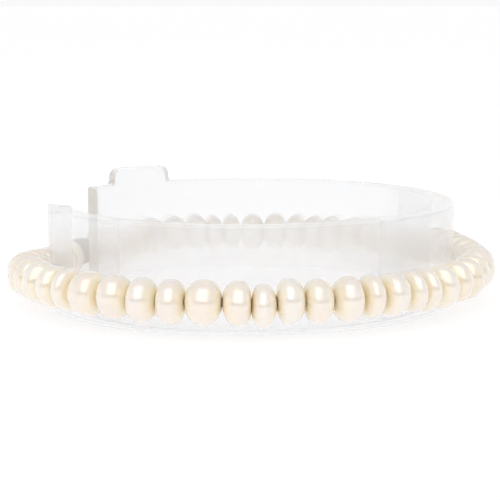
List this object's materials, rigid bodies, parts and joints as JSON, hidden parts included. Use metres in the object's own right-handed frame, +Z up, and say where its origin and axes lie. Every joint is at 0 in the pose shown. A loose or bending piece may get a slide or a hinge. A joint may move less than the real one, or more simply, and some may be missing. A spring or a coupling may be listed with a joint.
{
  "type": "pearl bracelet on display cuff",
  "caption": "Single-strand bracelet of cream button pearls on a clear C-shaped display cuff.",
  "frame": {"origin": "under the middle of the whole, on the surface that the cuff stands on", "axes": "+X along the oval's length, the cuff's mouth on its -X side; +Z up"},
  "size_m": [0.077, 0.0684, 0.0185],
  "materials": {
    "nacre": "satin nacre lustre",
    "clear_plastic": "clear, slightly hazed, polished edges",
    "clasp_metal": "satin",
    "silk": "twisted"
  },
  "bodies": {
    "root": {"pearl_01": "nacre", "pearl_02": "nacre", "pearl_03": "nacre", "pearl_04": "nacre", "pearl_05": "nacre", "pearl_06": "nacre", "pearl_07": "nacre", "pearl_08": "nacre", "pearl_09": "nacre", "pearl_10": "nacre", "pearl_11": "nacre", "pearl_12": "nacre", "pearl_13": "nacre", "pearl_14": "nacre", "pearl_15": "nacre", "pearl_16": "nacre", "pearl_17": "nacre", "pearl_18": "nacre", "pearl_19": "nacre", "pearl_20": "nacre", "pearl_21": "nacre", "pearl_22": "nacre", "pearl_23": "nacre", "pearl_24": "nacre", "pearl_25": "nacre", "pearl_26": "nacre", "pearl_27": "nacre", "pearl_28": "nacre", "pearl_29": "nacre", "pearl_30": "nacre", "pearl_31": "nacre", "pearl_32": "nacre", "pearl_33": "nacre", "pearl_34": "nacre", "pearl_35": "nacre", "pearl_36": "nacre", "pearl_37": "nacre", "pearl_38": "nacre", "pearl_39": "nacre", "pearl_40": "nacre", "pearls_41_47": "nacre", "pearls_48_54": "nacre", "thread": "silk", "clasp": "clasp_metal", "display_cuff": "clear_plastic"}
  },
  "joints": []
}
